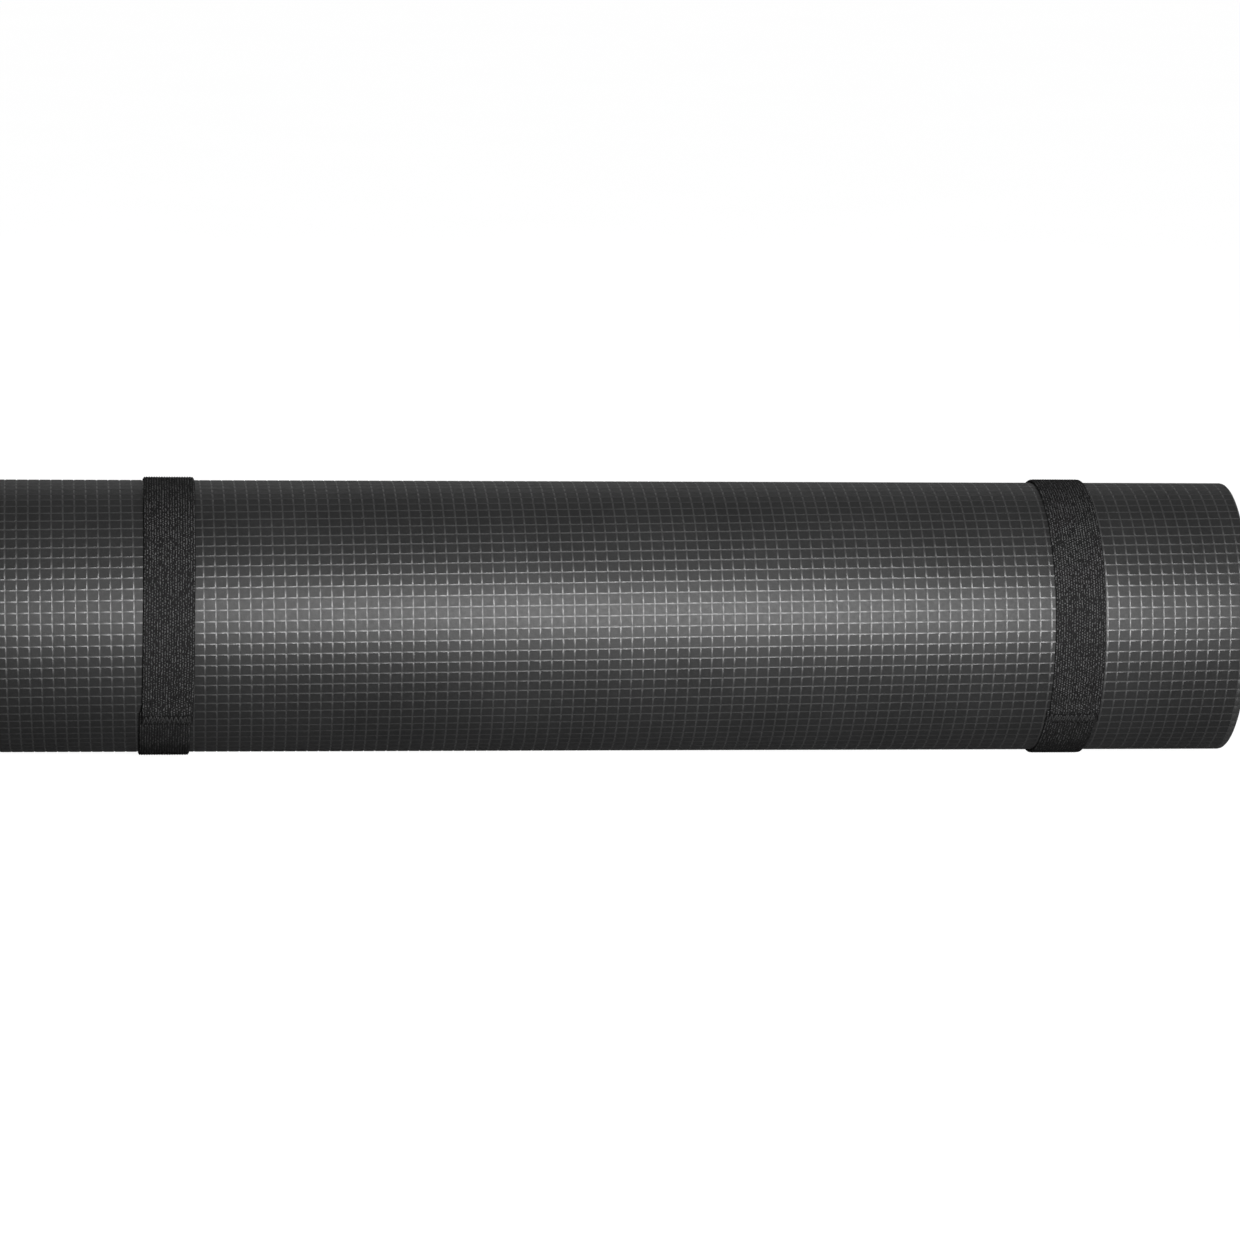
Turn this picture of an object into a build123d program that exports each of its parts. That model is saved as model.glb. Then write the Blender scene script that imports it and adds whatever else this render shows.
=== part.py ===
from build123d import *

import os
from math import acos, atan2, cos, degrees, hypot, radians, sin

# Foam sleeping pad, rolled up and held by two elastic straps.
#
# Frame: X runs along the roll, Y is depth (the front is -Y) and Z is up. The origin is at
# the middle of the bounding box, on the surface that the straps' lowest points rest on.
# All dimensions are in millimetres.

# ---- Driving dimensions ---------------------------------------------------------------

# The pad is one sheet of closed-cell foam, rolled across its length.
pad_width = 600.0
foam_thickness = 6.7
turn_gap = 0.3
core_radius = 7.5
half_turns = 16
tail_angle = 335.0  # where the sheet's outer end lies, at the lower back

# Each strap is a strip of woven elastic, sewn into a loop that grips the roll.
strap_width = 24.0
webbing_thickness = 1.3
strap_clearance = 0.3
strap_positions = {"left": -210.0, "right": 218.0}

# The strip's two ends lie over each other at the lower front and are sewn together.
lap_angle = 212.0  # where the inner layer begins
lap_length = 7.0
lap_gap = 0.1
lap_bend_radius = 12.0

# A zigzag row of sewing thread holds the lap.
stitch_diameter = 0.5
stitch_height = 4.4
stitch_spacing = 1.2
stitch_count = 18

# ---- Sizes that follow from them --------------------------------------------------------

# The roll is made of half turns. Each is an arc, and the upper and the lower ones have
# centres half a pitch apart, so that the sheet winds outwards by one pitch every turn.
pitch = foam_thickness + turn_gap
upper_centre = Vector(0, 0)
lower_centre = Vector(pitch / 2, 0)
lower_radius = core_radius + foam_thickness + (half_turns - 1) * pitch / 2
upper_radius = lower_radius - pitch / 2

# A strap's middle line runs at this distance outside the foam.
strap_offset = strap_clearance + webbing_thickness / 2
inner_layer_radius = lower_radius + strap_offset
outer_layer_radius = inner_layer_radius + webbing_thickness + lap_gap
lap_end_angle = lap_angle + degrees(lap_length / outer_layer_radius)


def on_circle(centre, radius, angle):
    """The point of a circle at an angle in degrees."""
    return centre + Vector(radius * cos(radians(angle)), radius * sin(radians(angle)))


# ---- The strap's middle line --------------------------------------------------------------

# From the edge of the foam's tail the strap goes straight up to the upper half of the roll.
tail_edge = on_circle(lower_centre, lower_radius, tail_angle)
tail_distance = hypot(tail_edge.X, tail_edge.Y)
bridge_angle = degrees(atan2(tail_edge.Y, tail_edge.X) + acos(upper_radius / tail_distance))

# Above the lap, the outer layer leaves the roll in a straight line to clear the inner end.
leaving_angle = lap_angle - degrees(acos(inner_layer_radius / outer_layer_radius))
leaving_point = on_circle(lower_centre, inner_layer_radius, leaving_angle)
lap_corner = on_circle(lower_centre, outer_layer_radius, lap_angle)

with BuildLine() as strap_line:
    CenterArc(lower_centre, inner_layer_radius, lap_angle, tail_angle - lap_angle)
    CenterArc(tail_edge, strap_offset, tail_angle, 360 + bridge_angle - tail_angle)
    Line(
        on_circle(tail_edge, strap_offset, bridge_angle),
        on_circle(upper_centre, upper_radius + strap_offset, bridge_angle),
    )
    CenterArc(upper_centre, upper_radius + strap_offset, bridge_angle, 180 - bridge_angle)
    CenterArc(lower_centre, inner_layer_radius, 180, leaving_angle - 180)
    Line(leaving_point, lap_corner)
    CenterArc(lower_centre, outer_layer_radius, lap_angle, lap_end_angle - lap_angle)
    fillet(strap_line.vertices().sort_by_distance(lap_corner)[0], lap_bend_radius)

with BuildSketch() as strap_section:
    trace(strap_line.line, webbing_thickness)

# The roll's cross section is drawn in this plane, which sets the strap down on the origin.
strap_box = strap_section.sketch.bounding_box()
roll_section = Plane(
    origin=(0, -strap_box.center().X, -strap_box.min.Y),
    x_dir=(0, 1, 0),
    z_dir=(1, 0, 0),
)
os.makedirs("parts", exist_ok=True)

# ---- Foam pad -----------------------------------------------------------------------------

with BuildPart() as foam_pad:
    with BuildSketch(roll_section):
        with BuildLine():
            for half_turn in range(half_turns):
                is_lower = half_turn % 2 == 1
                centre = lower_centre if is_lower else upper_centre
                start = 180 if is_lower else 0
                end = tail_angle if half_turn == half_turns - 1 else start + 180
                inner_radius = core_radius + half_turn * pitch / 2
                CenterArc(centre, inner_radius, start, end - start)
                CenterArc(centre, inner_radius + foam_thickness, start, end - start)
            Line(
                on_circle(upper_centre, core_radius, 0),
                on_circle(upper_centre, core_radius + foam_thickness, 0),
            )
            Line(
                on_circle(lower_centre, lower_radius - foam_thickness, tail_angle),
                on_circle(lower_centre, lower_radius, tail_angle),
            )
        make_face()
    extrude(amount=pad_width / 2, both=True)

foam_pad.part.label = "foam_pad"
export_step(foam_pad.part, "parts/foam_pad.step")

# ---- Straps -------------------------------------------------------------------------------


def make_stitching(strap_plane):
    """One zigzag of thread on the outer layer, with a leg through both layers at each turn."""
    seam_angle = (lap_angle + lap_end_angle) / 2
    outer_face = outer_layer_radius + webbing_thickness / 2
    middle = strap_plane.from_local_coords(on_circle(lower_centre, outer_face, seam_angle))
    outward = middle - strap_plane.from_local_coords(lower_centre)
    seam_plane = Plane(origin=middle, x_dir=strap_plane.z_dir, z_dir=outward)
    leg_length = 2 * webbing_thickness + lap_gap
    turns = [
        ((index - stitch_count / 2) * stitch_spacing, stitch_height / 2 * (-1) ** index)
        for index in range(stitch_count + 1)
    ]
    with BuildPart() as stitching:
        with BuildSketch(seam_plane.offset(-stitch_diameter / 2)):
            with BuildLine():
                zigzag = Polyline(*turns)
            trace(zigzag, stitch_diameter)
        extrude(amount=stitch_diameter)
        with BuildSketch(seam_plane):
            with Locations(*turns):
                Circle(stitch_diameter / 2)
        extrude(amount=-leg_length)
    return stitching.part


for side, position in strap_positions.items():
    strap_plane = roll_section.offset(position)
    stitching = make_stitching(strap_plane)

    with BuildPart() as webbing:
        with BuildSketch(strap_plane):
            add(strap_section.sketch)
        extrude(amount=strap_width / 2, both=True)
        add(stitching, mode=Mode.SUBTRACT)

    webbing.part.label = f"{side}_strap_webbing"
    stitching.label = f"{side}_strap_stitching"
    export_step(webbing.part, f"parts/{webbing.part.label}.step")
    export_step(stitching, f"parts/{stitching.label}.step")
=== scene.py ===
"""Rolled foam sleeping pad with two elastic straps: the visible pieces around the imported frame.

Every length is in metres, in the frame's own axes: +X along the roll, -Y to the front, +Z up.
"""
from math import atan2, cos, hypot, pi, radians, sin

import bmesh
import bpy
import numpy as np
from mathutils import Matrix, Vector, noise


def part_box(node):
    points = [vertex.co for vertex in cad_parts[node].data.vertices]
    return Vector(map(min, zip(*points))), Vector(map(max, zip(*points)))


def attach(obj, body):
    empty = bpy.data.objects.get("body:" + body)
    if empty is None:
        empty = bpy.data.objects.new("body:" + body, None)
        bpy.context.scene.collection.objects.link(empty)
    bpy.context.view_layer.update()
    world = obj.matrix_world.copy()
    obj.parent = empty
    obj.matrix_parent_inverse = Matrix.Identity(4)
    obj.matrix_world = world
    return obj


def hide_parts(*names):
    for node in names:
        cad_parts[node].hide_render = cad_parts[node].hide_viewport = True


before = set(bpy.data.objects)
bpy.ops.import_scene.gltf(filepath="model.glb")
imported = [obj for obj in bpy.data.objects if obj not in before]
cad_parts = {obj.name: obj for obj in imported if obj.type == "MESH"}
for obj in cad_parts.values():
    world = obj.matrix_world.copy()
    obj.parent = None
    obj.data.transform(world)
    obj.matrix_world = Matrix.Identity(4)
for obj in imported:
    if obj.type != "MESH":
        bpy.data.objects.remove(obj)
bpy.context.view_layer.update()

# ---- The roll's geometry, from the frame -------------------------------------------------------

MM = 0.001
MERGE_DISTANCE = 0.005 * MM
FOAM_THICKNESS = 6.7 * MM
TURN_GAP = 0.3 * MM
PITCH = FOAM_THICKNESS + TURN_GAP
HALF_TURNS = 16
TAIL_ANGLE = radians(335)

foam_low, foam_high = (np.array(corner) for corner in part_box("foam_pad"))
HALF_WIDTH = (foam_high[0] - foam_low[0]) / 2
LOWER_RADIUS = (foam_high[2] - foam_low[2] + PITCH / 2) / 2
UPPER_RADIUS = LOWER_RADIUS - PITCH / 2
AXIS_Y = foam_low[1] + UPPER_RADIUS
AXIS_Z = foam_high[2] - UPPER_RADIUS
LOWER_AXIS_Y = AXIS_Y + PITCH / 2
CORE_RADIUS = LOWER_RADIUS - FOAM_THICKNESS - (HALF_TURNS - 1) * PITCH / 2

# ---- The foam's embossing and its cut edges ----------------------------------------------------

# Here and below, a rate is how many swings of unevenness come in a metre.
CELL_ACROSS = 5.37 * MM
CELL_AROUND = 5.2 * MM
GRID_SKEW = 0.0154
GRID_MARGIN = 8 * MM  # how far the grid's lines are laid out past the sheet's edges
EMBOSSED_OVERLAP = 14 * MM  # how far the embossing runs on under the sheet's outer end
GROOVE_HALF_WIDTH = 0.40 * MM
GROOVE_DEPTH = 0.34 * MM
CROSSING_SHARE = 0.8  # of the depth, where two grooves cross
SKIN_WAVE = 0.03 * MM  # height of the skin's unevenness along the sheet
SKIN_WAVE_RATE = 90
CELL_TOP_AREA = (CELL_ACROSS - 2 * GROOVE_HALF_WIDTH) * (CELL_AROUND - 2 * GROOVE_HALF_WIDTH)
LARGEST_GROOVE_FACE = 0.6 * CELL_TOP_AREA
LARGEST_CELL_FACE = 1.8 * CELL_TOP_AREA
EDGE_RADIUS = 1.1 * MM
EDGE_STEPS = 3
CUT_FACE_DEPTH = 0.6 * MM
CUT_FACE_NORMAL = 0.8  # a face whose normal has more X than this belongs to a cut edge
INNER_TURN_STEP = 3.2 * MM
UNDERSIDE_POINTS = 11

# The turns creep in and out at the roll's ends, slowly and quickly along the sheet.
SLOW_CREEP = 1.6 * MM
SLOW_CREEP_RATE = 2.3
QUICK_CREEP = 0.5 * MM
QUICK_CREEP_RATE = 9.0
EVEN_LENGTH = 0.45  # of the sheet, from its outer end, over which the creep fades in
END_INSET = 0.2 * MM

# ---- The straps --------------------------------------------------------------------------------

STRAP_CLEARANCE = 0.25 * MM
WEBBING_THICKNESS = 1.3 * MM
SELVAGE_SHARE = 0.55  # of the thickness, at the strip's very edge
SELVAGE_WIDTH = 0.07  # of the strip's half width, over which it thickens
TAIL_BEND_RADIUS = 2.5 * MM
ROW_SPACING = 0.62 * MM
FEWEST_ROWS = 3  # on an arc
ROWS_AFTER_BEND = 3  # left out of the straight stretch, which needs none beside the tight bend
LAP_ANGLE = radians(212)
LAP_LENGTH = 7.0 * MM
LAP_RISE = 1.35 * MM
RAMP_LENGTH = 5.0 * MM
RIB_SPACING = 1.2 * MM
RIB_HEIGHT = 0.30 * MM
RIB_COLUMNS = 4
KNIT_SPACING = 1.3 * MM
KNIT_HEIGHT = 0.22 * MM
FUZZ_HEIGHT = 0.04 * MM
FUZZ_RATE_ACROSS = 1400
FUZZ_RATE_ALONG = 900
UNDERSIDE_SHARES = (0.93, 0.5, 0.0, -0.5, -0.93)
PAINTED_GLINT_ON_KNIT = 0.62  # share of the faces given the lighter painted-glint colour, a painted highlight, where a loop stands up
PAINTED_GLINT_BETWEEN = 0.12
WAVER_SEEDS = {"left": 3.0, "right": 9.0}
PAINTED_GLINT_SEEDS = {"left": 5, "right": 17}

# A loop wanders along the roll: it leans, its ends don't quite meet, and its edges waver.
STRAP_LEANS = {"left": -0.9 * MM, "right": 0.6 * MM}
LEAN_PHASE = 0.6
END_OFFSET = 1.1 * MM
EDGE_WAVER = 0.35 * MM
EDGE_WAVER_RATE = 22
WIDTH_WAVER = 0.012
WIDTH_WAVER_RATE = 35

# The seam pulls the lap in, and its two rows of zigzag are sewn over each other.
SEAM_HALF_HEIGHT = 2.3 * MM  # of the band at the seam left without painted glints, so it shows darker: painted shade
PINCH_DEPTH = 0.50 * MM
PINCH_REACH = 1.7 * MM
THREAD_RADIUS = 0.21 * MM
THREAD_SINK = 0.28 * MM  # how far the thread lies in from the webbing's face
SEAM_MARGIN = 1.0 * MM
SEAM_ROWS = ((0.2 * MM, 22, 2.1 * MM), (-0.3 * MM, 19, 1.9 * MM))  # offset, stitches, height
STITCH_LIFTS = (-0.25 * MM, 0.05 * MM)
STITCH_SEEDS = {"left": 11, "right": 23}
SCATTER_ACROSS = 0.12 * MM
SCATTER_ALONG = 0.22 * MM
SCATTER_LIFT = 0.03 * MM

# ---- The setting -------------------------------------------------------------------------------

COOL_TINT = 1.01  # blue over red in the dark greys
WORLD_LIGHT = 0.21
FLOOR_GLOW = 0.95
FLOOR_REACH = 14.0
ELEVATION = radians(12)
CAMERA_YAW = radians(6.086)
CAMERA_DISTANCE = 2.26
CAMERA_X = -0.2343
AIM_DROP = 3.3 * MM
SENSOR_WIDTH = 36.0  # mm
LENS = 137.555  # mm


def half_turn_point(half_turn, angle, radius):
    """A point (y, z) on one of the roll's arcs: upper and lower ones have their own centres."""
    centre_y = LOWER_AXIS_Y if half_turn % 2 else AXIS_Y
    return centre_y + radius * cos(angle), AXIS_Z + radius * sin(angle)


class Spiral:
    """The sheet's outer face as a curve in the YZ plane, measured back from the tail."""

    def __init__(self):
        self.arcs = []
        end = 0.0
        for half_turn in reversed(range(HALF_TURNS)):
            start_angle = pi if half_turn % 2 else 0.0
            end_angle = TAIL_ANGLE if half_turn == HALF_TURNS - 1 else start_angle + pi
            radius = CORE_RADIUS + FOAM_THICKNESS + half_turn * PITCH / 2
            length = radius * (end_angle - start_angle)
            self.arcs.append((half_turn, end, length, end_angle, radius))
            end += length
        self.length = end

    def at(self, back):
        """(y, z) of the outer face and its outward normal, at a length back from the tail."""
        for half_turn, start, length, end_angle, radius in self.arcs:
            if back <= start + length or half_turn == 0:
                angle = end_angle - (back - start) / radius
                y, z = half_turn_point(half_turn, angle, radius)
                return y, z, cos(angle), sin(angle)


spiral = Spiral()


def new_piece(name, vertices, faces, material, body):
    """A smooth-shaded mesh object that rides on a body."""
    mesh = bpy.data.meshes.new(name)
    mesh.from_pydata([tuple(v) for v in vertices], [], faces)
    work = bmesh.new()
    work.from_mesh(mesh)
    bmesh.ops.remove_doubles(work, verts=work.verts, dist=MERGE_DISTANCE)
    bmesh.ops.recalc_face_normals(work, faces=work.faces)
    work.to_mesh(mesh)
    work.free()
    mesh.polygons.foreach_set("use_smooth", [True] * len(mesh.polygons))
    mesh.update()
    piece = bpy.data.objects.new(name, mesh)
    bpy.context.scene.collection.objects.link(piece)
    piece.data.materials.append(material)
    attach(piece, body)
    return piece


def capped_tube(rows, columns):
    """Quads between rows, each a closed loop of columns, and a cap on the first and last row."""
    faces = []
    for row in range(rows - 1):
        base = row * columns
        for column in range(columns):
            following = (column + 1) % columns
            faces.append(
                (base + column, base + following, base + columns + following, base + columns + column)
            )
    last = (rows - 1) * columns
    return faces + [tuple(range(columns))[::-1], tuple(range(last, last + columns))]


# ---- Materials ---------------------------------------------------------------------------------


class Nodes:
    """A short way to write a material's node tree."""

    def __init__(self, name):
        self.material = bpy.data.materials.new(name)
        self.material.use_nodes = True
        self.tree = self.material.node_tree
        self.shader = self.tree.nodes["Principled BSDF"]
        coordinates = self.tree.nodes.new("ShaderNodeTexCoord")
        self.place = coordinates.outputs["Object"]

    def link(self, source, node, socket):
        self.tree.links.new(source, node.inputs[socket])

    def noise(self, scale, detail, roughness):
        node = self.tree.nodes.new("ShaderNodeTexNoise")
        node.inputs["Scale"].default_value = scale
        node.inputs["Detail"].default_value = detail
        node.inputs["Roughness"].default_value = roughness
        self.link(self.place, node, "Vector")
        return node.outputs["Fac"]

    def cells(self, scale):
        node = self.tree.nodes.new("ShaderNodeTexVoronoi")
        node.inputs["Scale"].default_value = scale
        self.link(self.place, node, "Vector")
        return node.outputs["Distance"]

    def ramp(self, source, low, high):
        """Grey that goes from one (position, brightness) to the other."""
        node = self.tree.nodes.new("ShaderNodeValToRGB")
        for element, (position, value) in zip(node.color_ramp.elements, (low, high)):
            element.position = position
            element.color = (value, value, value * COOL_TINT, 1)
        self.link(source, node, "Fac")
        return node.outputs["Color"]

    def times(self, source, factor):
        """A value multiplied by a constant."""
        node = self.tree.nodes.new("ShaderNodeMath")
        node.operation = "MULTIPLY"
        self.link(source, node, 0)
        node.inputs[1].default_value = factor
        return node.outputs[0]

    def mix(self, factor, first, second):
        """Blend of two colours, whose sockets go by number because their names repeat."""
        node = self.tree.nodes.new("ShaderNodeMix")
        node.data_type = "RGBA"
        self.link(factor, node, 0)
        self.link(first, node, 6)
        self.link(second, node, 7)
        return node.outputs[2]

    def bump(self, height, distance):
        node = self.tree.nodes.new("ShaderNodeBump")
        node.inputs["Strength"].default_value = 1.0
        node.inputs["Distance"].default_value = distance
        self.link(height, node, "Height")
        self.link(node.outputs["Normal"], self.shader, "Normal")


def foam_material(name, brightness, gloss):
    """Dull satin moulded skin with a fine grain. Where a groove was pressed in it is glossier; a
    brightness over 1 lightens the colour there as a painted highlight.
    """
    nodes = Nodes(name)
    grain = nodes.noise(scale=1500, detail=3, roughness=0.6)
    patches = nodes.noise(scale=28, detail=3, roughness=0.5)
    specks = nodes.noise(scale=900, detail=2, roughness=0.7)
    wear = nodes.noise(scale=600, detail=3, roughness=0.6)
    tone = nodes.ramp(patches, (0.3, 0.006 * brightness), (0.7, 0.010 * brightness))
    flecks = nodes.ramp(specks, (0.45, 0.006 * brightness), (0.66, 0.016 * brightness))
    colour = nodes.mix(nodes.ramp(grain, (0.35, 0.0), (0.75, 0.7)), tone, flecks)
    nodes.link(colour, nodes.shader, "Base Color")
    nodes.link(nodes.ramp(wear, (0.3, 0.50), (0.7, 0.58)), nodes.shader, "Roughness")
    nodes.shader.inputs["Specular IOR Level"].default_value = gloss
    nodes.bump(grain, 0.05 * MM)
    return nodes.material


def cut_foam_material():
    """The cut edges: open cells, rougher and a little greyer than the skin."""
    nodes = Nodes("foam_cut")
    pores = nodes.cells(scale=1600)
    nodes.link(nodes.ramp(pores, (0.1, 0.02), (0.55, 0.09)), nodes.shader, "Base Color")
    nodes.shader.inputs["Roughness"].default_value = 0.85
    nodes.shader.inputs["Specular IOR Level"].default_value = 0.2
    nodes.bump(pores, 0.15 * MM)
    return nodes.material


def yarn_material(name, low, high):
    """Knitted elastic yarn, with its filaments as fine unevenness in tone and height."""
    nodes = Nodes(name)
    filaments = nodes.noise(scale=2200, detail=3, roughness=0.6)
    nodes.link(nodes.ramp(filaments, (0.3, low), (0.7, high)), nodes.shader, "Base Color")
    nodes.shader.inputs["Roughness"].default_value = 0.85
    nodes.shader.inputs["Specular IOR Level"].default_value = 0.06
    nodes.bump(filaments, 0.12 * MM)
    return nodes.material


def thread_material():
    """Black twisted polyester sewing thread."""
    nodes = Nodes("sewing_thread")
    strands = nodes.noise(scale=3000, detail=2, roughness=0.6)
    nodes.link(nodes.ramp(strands, (0.35, 0.004), (0.75, 0.028)), nodes.shader, "Base Color")
    nodes.shader.inputs["Roughness"].default_value = 0.6
    nodes.bump(strands, 0.05 * MM)
    return nodes.material


def floor_material():
    """A lit white sweep: it shows white, but throws little light back under the roll."""
    nodes = Nodes("pale_floor")
    shade = nodes.noise(scale=6, detail=2, roughness=0.5)
    nodes.link(nodes.ramp(shade, (0.3, 0.17), (0.7, 0.19)), nodes.shader, "Base Color")
    nodes.shader.inputs["Roughness"].default_value = 0.9
    nodes.shader.inputs["Specular IOR Level"].default_value = 0.1
    nodes.shader.inputs["Emission Color"].default_value = (1, 1, 1, 1)
    path = nodes.tree.nodes.new("ShaderNodeLightPath")
    glow = nodes.times(path.outputs["Is Camera Ray"], FLOOR_GLOW)
    nodes.link(glow, nodes.shader, "Emission Strength")
    return nodes.material


# ---- Foam pad ----------------------------------------------------------------------------------


def groove_lines(low, high, cell):
    """Places across a stretch, and which of them are groove bottoms: three to each cell."""
    places, is_groove = [], []
    for index in range(int(low // cell) - 1, int(high // cell) + 2):
        line = index * cell
        for offset, bottom in ((-GROOVE_HALF_WIDTH, 0), (0.0, 1), (GROOVE_HALF_WIDTH, 0)):
            places.append(line + offset)
            is_groove.append(bottom)
    return places, is_groove


def edge_creep(back, side):
    """How far the turns stand in or out at an end of the roll, which is never quite even."""
    slow = noise.noise(Vector((back * SLOW_CREEP_RATE, side * 7.0, 0.0)))
    quick = noise.noise(Vector((back * QUICK_CREEP_RATE, side * 3.0, 5.0)))
    fade = min(1.0, back / EVEN_LENGTH)
    return (SLOW_CREEP * slow + QUICK_CREEP * quick) * fade - END_INSET


def cross_section(back_line, top, skew, furthest, underside_points):
    """One closed cross section of the sheet, whose points lie on one line across it.

    top lists (x, depth) across the outer face. The line slants by skew, and no point of it
    goes further back along the sheet than furthest.
    """
    ends = [HALF_WIDTH + edge_creep(back_line, side) for side in (-1, 1)]
    row = []

    def put(x, depth):
        back = min(max(back_line + skew * x, 0.0), furthest)
        y, z, normal_y, normal_z = spiral.at(back)
        row.append((x, y - depth * normal_y, z - depth * normal_z))

    for x, depth in top:
        put(min(max(x, EDGE_RADIUS - ends[0]), ends[1] - EDGE_RADIUS), depth)
    corner = [step / EDGE_STEPS * pi / 2 for step in range(EDGE_STEPS + 1)]
    for turn in corner:
        put(ends[1] - EDGE_RADIUS * (1 - sin(turn)), EDGE_RADIUS * (1 - cos(turn)))
    for turn in reversed(corner):
        put(ends[1] - EDGE_RADIUS * (1 - sin(turn)), FOAM_THICKNESS - EDGE_RADIUS * (1 - cos(turn)))
    for index in range(1, underside_points + 1):
        put(HALF_WIDTH * (1 - 2 * index / (underside_points + 1)), FOAM_THICKNESS)
    for turn in corner:
        put(EDGE_RADIUS * (1 - sin(turn)) - ends[0], FOAM_THICKNESS - EDGE_RADIUS * (1 - cos(turn)))
    for turn in reversed(corner):
        put(EDGE_RADIUS * (1 - sin(turn)) - ends[0], EDGE_RADIUS * (1 - cos(turn)))
    return row


def foam_piece(name, sections, material):
    """One stretch of the sheet, as a tube through its cross sections."""
    vertices = [point for section in sections for point in section]
    faces = capped_tube(len(sections), len(sections[0]))
    return new_piece(name, vertices, faces, material, "roll")


def embossed_sections(outer_turn):
    """Cross sections along the outer turn, with grooves across and along the sheet."""
    across, across_groove = groove_lines(
        -HALF_WIDTH - GRID_MARGIN, HALF_WIDTH + GRID_MARGIN, CELL_ACROSS
    )
    around, around_groove = groove_lines(0.0, outer_turn, CELL_AROUND)
    sections = []
    for back_line, in_row in zip(around, around_groove):
        if not 0.0 <= back_line <= outer_turn:
            continue
        wave = SKIN_WAVE * noise.noise(Vector((back_line * SKIN_WAVE_RATE, 0, 1)))
        top = []
        for x_line, in_column in zip(across, across_groove):
            x = x_line - GRID_SKEW * (back_line - outer_turn / 2)
            depth = GROOVE_DEPTH if in_row or in_column else 0.0
            if in_row and in_column:
                depth *= CROSSING_SHARE
            top.append((x, depth + wave))
        sections.append(cross_section(back_line, top, GRID_SKEW, outer_turn, UNDERSIDE_POINTS))
    return sections


def make_foam(materials):
    """The rolled sheet: an embossed outer turn and the plain turns that it hides."""
    outer_turn = pi * (LOWER_RADIUS + UPPER_RADIUS) + EMBOSSED_OVERLAP
    outer = foam_piece("foam_outer_turn", embossed_sections(outer_turn), materials[0])

    inner_length = spiral.length - outer_turn
    steps = int(inner_length / INNER_TURN_STEP)
    plain = [(-HALF_WIDTH, 0.0), (0.0, 0.0), (HALF_WIDTH, 0.0)]
    sections = [
        cross_section(outer_turn + inner_length * index / steps, plain, 0.0, spiral.length, 0)
        for index in range(steps + 1)
    ]
    inner = foam_piece("foam_inner_turns", sections, materials[0])

    for piece in (outer, inner):
        for material in materials[1:]:
            piece.data.materials.append(material)
        for polygon in piece.data.polygons:
            faces_end = abs(polygon.normal.x) > CUT_FACE_NORMAL
            if faces_end or abs(polygon.center.x) > HALF_WIDTH - CUT_FACE_DEPTH:
                polygon.material_index = 1
            elif piece is outer and polygon.area < LARGEST_GROOVE_FACE:
                polygon.material_index = 2
            elif piece is outer and polygon.area < LARGEST_CELL_FACE:
                polygon.use_smooth = False
        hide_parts("foam_pad")


# ---- Straps ------------------------------------------------------------------------------------


class StrapLine:
    """The strip's path round the roll, as evenly spaced points with outward normals.

    It starts where the lap's inner layer begins, goes over the sheet's outer end and straight
    across the step behind it, and ends after the lap.
    """

    def __init__(self, step):
        offset = STRAP_CLEARANCE
        tail_y = LOWER_AXIS_Y + LOWER_RADIUS * cos(TAIL_ANGLE)
        tail_z = AXIS_Z + LOWER_RADIUS * sin(TAIL_ANGLE)
        reach = hypot(tail_y - AXIS_Y, tail_z - AXIS_Z)
        bridge = atan2(tail_z - AXIS_Z, tail_y - AXIS_Y) + np.arccos(UPPER_RADIUS / reach)
        lap_end = LAP_ANGLE + LAP_LENGTH / LOWER_RADIUS
        self.samples = []
        self.arc(LOWER_AXIS_Y, AXIS_Z, LOWER_RADIUS + offset, LAP_ANGLE, TAIL_ANGLE, step)
        self.arc(tail_y, tail_z, TAIL_BEND_RADIUS, TAIL_ANGLE, 2 * pi + bridge, step / 3,
                 TAIL_BEND_RADIUS - offset)
        y0, z0 = tail_y + offset * cos(bridge), tail_z + offset * sin(bridge)
        y1 = AXIS_Y + (UPPER_RADIUS + offset) * cos(bridge)
        z1 = AXIS_Z + (UPPER_RADIUS + offset) * sin(bridge)
        count = int(hypot(y1 - y0, z1 - z0) / step)
        for index in range(ROWS_AFTER_BEND, count):
            share = index / count
            self.samples.append(
                (y0 + (y1 - y0) * share, z0 + (z1 - z0) * share, cos(bridge), sin(bridge))
            )
        self.arc(AXIS_Y, AXIS_Z, UPPER_RADIUS + offset, bridge, pi, step)
        self.arc(LOWER_AXIS_Y, AXIS_Z, LOWER_RADIUS + offset, pi, lap_end, step)

    def arc(self, y, z, radius, start, end, step, inset=0.0):
        """Points that are a step apart at the radius, moved in from there by the inset."""
        count = max(FEWEST_ROWS, int(radius * (end - start) / step))
        for index in range(count):
            angle = start + (end - start) * index / count
            reach = radius - inset
            self.samples.append((y + reach * cos(angle), z + reach * sin(angle), cos(angle), sin(angle)))

    def lengths(self):
        """The length of the path up to each point."""
        total = 0.0
        lengths = []
        previous = self.samples[0]
        for sample in self.samples:
            total += hypot(sample[0] - previous[0], sample[1] - previous[1])
            lengths.append(total)
            previous = sample
        return lengths


def smooth_step(value):
    value = min(max(value, 0.0), 1.0)
    return value * value * (3 - 2 * value)


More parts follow.
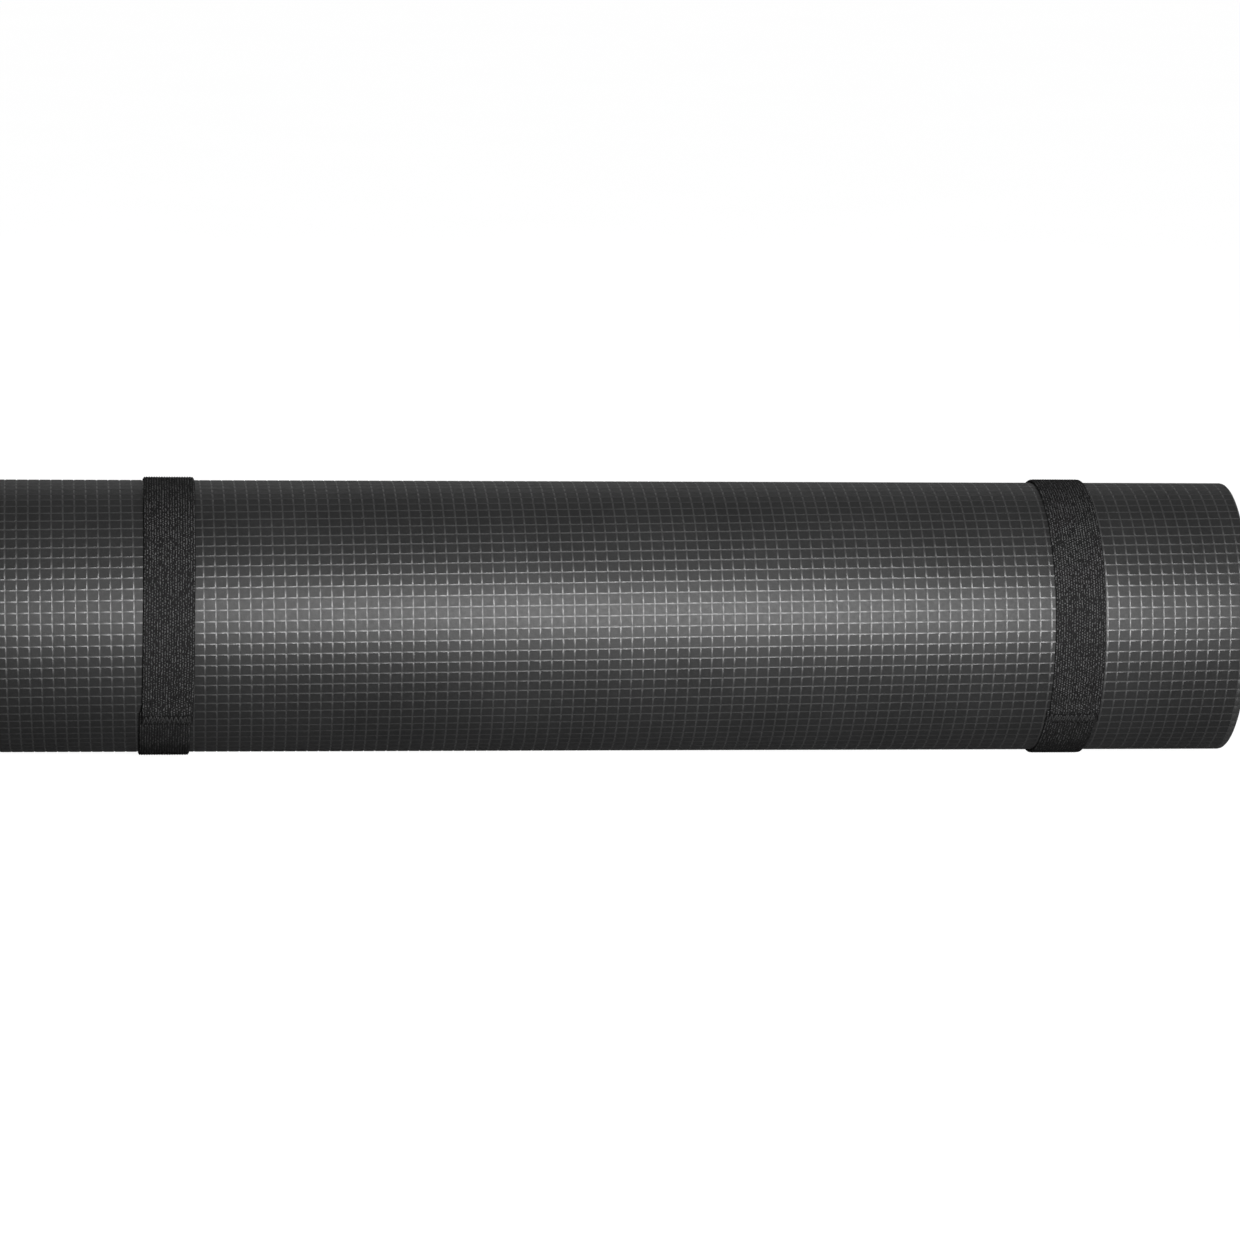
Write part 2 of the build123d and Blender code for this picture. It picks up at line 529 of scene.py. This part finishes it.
def webbing_height(share_across, x, run, ribs, seed):
    """How far the ribbed, knitted outer face stands over the strip's inner face."""
    thickening = smooth_step((1 - abs(share_across)) / SELVAGE_WIDTH)
    rib_phase = (share_across + 1) / 2 * ribs
    rib = 0.5 - 0.5 * cos(2 * pi * rib_phase)
    stagger = 0.5 * (int(rib_phase) % 2)
    knit = 0.5 * cos(2 * pi * (run / KNIT_SPACING + stagger))
    fuzz = noise.noise(Vector((x * FUZZ_RATE_ACROSS, run * FUZZ_RATE_ALONG, seed)))
    body = WEBBING_THICKNESS * (SELVAGE_SHARE + (1 - SELVAGE_SHARE) * thickening) - RIB_HEIGHT
    return body + RIB_HEIGHT * rib + KNIT_HEIGHT * rib * knit + FUZZ_HEIGHT * fuzz


def make_strap(side, materials):
    """One loop of elastic: ribbed strip, lapped and sewn at the lower front."""
    node = f"{side}_strap_webbing"
    low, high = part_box(node)
    middle = (low[0] + high[0]) / 2
    half_width = (high[0] - low[0]) / 2
    line = StrapLine(ROW_SPACING)
    lengths = line.lengths()
    total = lengths[-1]
    ribs = int(round(2 * half_width / RIB_SPACING))
    outer_columns = ribs * RIB_COLUMNS
    across = [-1 + 2 * index / outer_columns for index in range(outer_columns + 1)]
    seed = WAVER_SEEDS[side]
    vertices = []
    for (y, z, normal_y, normal_z), run in zip(line.samples, lengths):
        to_end = total - run
        share = run / total
        rise = LAP_RISE * smooth_step((LAP_LENGTH + RAMP_LENGTH - to_end) / RAMP_LENGTH)
        pinch = PINCH_DEPTH * np.exp(-((to_end - LAP_LENGTH / 2) / PINCH_REACH) ** 2)
        centre = middle + STRAP_LEANS[side] * sin(2 * pi * share + LEAN_PHASE)
        centre += END_OFFSET * (share - 0.5)
        centre += EDGE_WAVER * noise.noise(Vector((run * EDGE_WAVER_RATE, seed, 0)))
        waver = noise.noise(Vector((run * WIDTH_WAVER_RATE, seed, 4)))
        width = half_width * (1 + WIDTH_WAVER * waver)
        for share_across in across:
            x = centre + width * share_across
            height = webbing_height(share_across, x, run, ribs, seed) + rise - pinch
            vertices.append((x, y + height * normal_y, z + height * normal_z))
        for share_across in UNDERSIDE_SHARES:
            x = centre + width * share_across
            vertices.append((x, y + rise * normal_y, z + rise * normal_z))
    rows = len(lengths)
    columns = len(vertices) // rows
    strap = new_piece(f"{side}_elastic_webbing", vertices, capped_tube(rows, columns),
                      materials["webbing"], f"{side}_strap")
    strap.data.materials.append(materials["painted_glint"])
    # Faces on the ribs' loops get the lighter yarn colour as painted glints, a painted highlight; the
    # seam's band gets none.
    rng = np.random.default_rng(PAINTED_GLINT_SEEDS[side])
    for polygon, chance in zip(strap.data.polygons, rng.random(len(strap.data.polygons))):
        row, column = divmod(polygon.index, columns)
        to_seam = abs(total - LAP_LENGTH / 2 - lengths[row])
        on_rib = column < outer_columns and column % RIB_COLUMNS in (1, 2)
        if on_rib and to_seam > SEAM_HALF_HEIGHT:
            stagger = 0.5 * (column // RIB_COLUMNS % 2)
            knit = cos(2 * pi * (lengths[row] / KNIT_SPACING + stagger))
            if chance < (PAINTED_GLINT_ON_KNIT if knit > 0 else PAINTED_GLINT_BETWEEN):
                polygon.material_index = 1
    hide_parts(node)
    make_seam(side, middle, half_width, materials["thread"])


def make_seam(side, middle, half_width, material):
    """Two uneven zigzag rows of thread that sink into the lap."""
    rng = np.random.default_rng(STITCH_SEEDS[side])
    seam_angle = LAP_ANGLE + LAP_LENGTH / 2 / LOWER_RADIUS
    reach = LOWER_RADIUS + STRAP_CLEARANCE + WEBBING_THICKNESS + LAP_RISE - THREAD_SINK
    curve = bpy.data.curves.new(f"{side}_seam_thread", "CURVE")
    curve.dimensions = "3D"
    curve.bevel_depth = THREAD_RADIUS
    curve.bevel_resolution = 1
    curve.use_fill_caps = True
    curve.resolution_u = 3
    for row_offset, stitches, height in SEAM_ROWS:
        points = []
        for index in range(stitches + 1):
            share = -1 + 2 * index / stitches
            x = middle + share * (half_width - SEAM_MARGIN) + rng.normal(0, SCATTER_ACROSS)
            along = row_offset + height * (-1) ** index + rng.normal(0, SCATTER_ALONG)
            for lift in STITCH_LIFTS:
                points.append((x, along, lift + rng.normal(0, SCATTER_LIFT)))
        spline = curve.splines.new("NURBS")
        spline.points.add(len(points) - 1)
        for point, (x, along, lift) in zip(spline.points, points):
            angle = seam_angle + along / reach
            radius = reach + lift
            point.co = (x, LOWER_AXIS_Y + radius * cos(angle), AXIS_Z + radius * sin(angle), 1)
        spline.order_u = 3
        spline.use_endpoint_u = True
    thread = bpy.data.objects.new(f"{side}_seam_thread", curve)
    bpy.context.scene.collection.objects.link(thread)
    thread.data.materials.append(material)
    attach(thread, f"{side}_strap")
    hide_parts(f"{side}_strap_stitching")


# ---- Setting -----------------------------------------------------------------------------------


def make_floor():
    """A large pale floor that the roll's straps rest on."""
    mesh = bpy.data.meshes.new("floor")
    corners = [(x * FLOOR_REACH, y * FLOOR_REACH, 0) for x, y in ((-1, -1), (1, -1), (1, 1), (-1, 1))]
    mesh.from_pydata(corners, [], [(0, 1, 2, 3)])
    floor = bpy.data.objects.new("floor", mesh)
    bpy.context.scene.collection.objects.link(floor)
    floor.data.materials.append(floor_material())


def make_light(name, place, aim, size, power):
    """A rectangular softbox that the camera doesn't see."""
    light = bpy.data.lights.new(name, "AREA")
    light.shape = "RECTANGLE"
    light.size, light.size_y = size
    light.energy = power
    lamp = bpy.data.objects.new(name, light)
    lamp.location = place
    lamp.visible_camera = False
    lamp.rotation_euler = (Vector(aim) - Vector(place)).to_track_quat("-Z", "Y").to_euler()
    bpy.context.scene.collection.objects.link(lamp)


def make_world():
    """Soft white surroundings, which show white and light the roll more gently than that."""
    world = bpy.data.worlds.new("studio")
    world.use_nodes = True
    tree = world.node_tree
    background = tree.nodes["Background"]
    background.inputs["Color"].default_value = (1, 1, 1, 1)
    path = tree.nodes.new("ShaderNodeLightPath")
    strength = tree.nodes.new("ShaderNodeMapRange")
    strength.inputs["To Min"].default_value = WORLD_LIGHT
    strength.inputs["To Max"].default_value = 1.0
    tree.links.new(path.outputs["Is Camera Ray"], strength.inputs["Value"])
    tree.links.new(strength.outputs["Result"], background.inputs["Strength"])
    bpy.context.scene.world = world


def make_camera():
    """Low in front of the roll's left strap, turned a little towards the right end."""
    camera = bpy.data.cameras.new("camera")
    camera.sensor_width = SENSOR_WIDTH
    camera.lens = LENS
    camera.clip_end = 100
    holder = bpy.data.objects.new("camera", camera)
    back = Vector((0, -cos(ELEVATION), sin(ELEVATION)))
    forward = Vector((sin(CAMERA_YAW), 0, 0)) - back * cos(CAMERA_YAW)
    right = Vector((cos(CAMERA_YAW), 0, 0)) + back * sin(CAMERA_YAW)
    up = right.cross(forward)
    turn = Matrix((right, up, -forward)).transposed()
    place = Vector((CAMERA_X, AXIS_Y, AXIS_Z)) + back * CAMERA_DISTANCE - up * AIM_DROP
    holder.matrix_world = Matrix.Translation(place) @ turn.to_4x4()
    bpy.context.scene.collection.objects.link(holder)
    bpy.context.scene.camera = holder


def light_roll():
    """A front softbox for the long highlight, one towards each end, and a weak one behind."""
    make_light("front_softbox", place=(0.10, -1.0, 0.28), aim=(0.10, 0, AXIS_Z),
               size=(0.46, 0.27), power=26)
    for side in (-1, 1):
        make_light(f"end_softbox_{side}", place=(side * 1.6, -0.5, 0.7), aim=(side * 0.3, 0, AXIS_Z),
                   size=(0.7, 0.7), power=5)
    make_light("back_softbox", place=(0, 1.5, 0.9), aim=(0, 0, AXIS_Z), size=(1.4, 0.4), power=2)


# ---- The scene ---------------------------------------------------------------------------------

bpy.context.scene.view_settings.view_transform = "Standard"
make_camera()
make_foam([
    foam_material("foam_skin", brightness=1.0, gloss=0.26),
    cut_foam_material(),
    # The pressed lines are glossier, and their colour is 1.2 times lighter as a painted highlight along
    # the grooves.
    foam_material("foam_pressed_lines_painted_highlight", brightness=1.2, gloss=0.8),
])
strap_materials = {
    "webbing": yarn_material("elastic_yarn", 0.003, 0.010),
    # The lighter yarn is a painted highlight: glints on the knit loops painted into the colour.
    "painted_glint": yarn_material("elastic_yarn_glint", 0.018, 0.064),
    "thread": thread_material(),
}
for side in ("left", "right"):
    make_strap(side, strap_materials)
make_floor()
make_world()
light_roll()
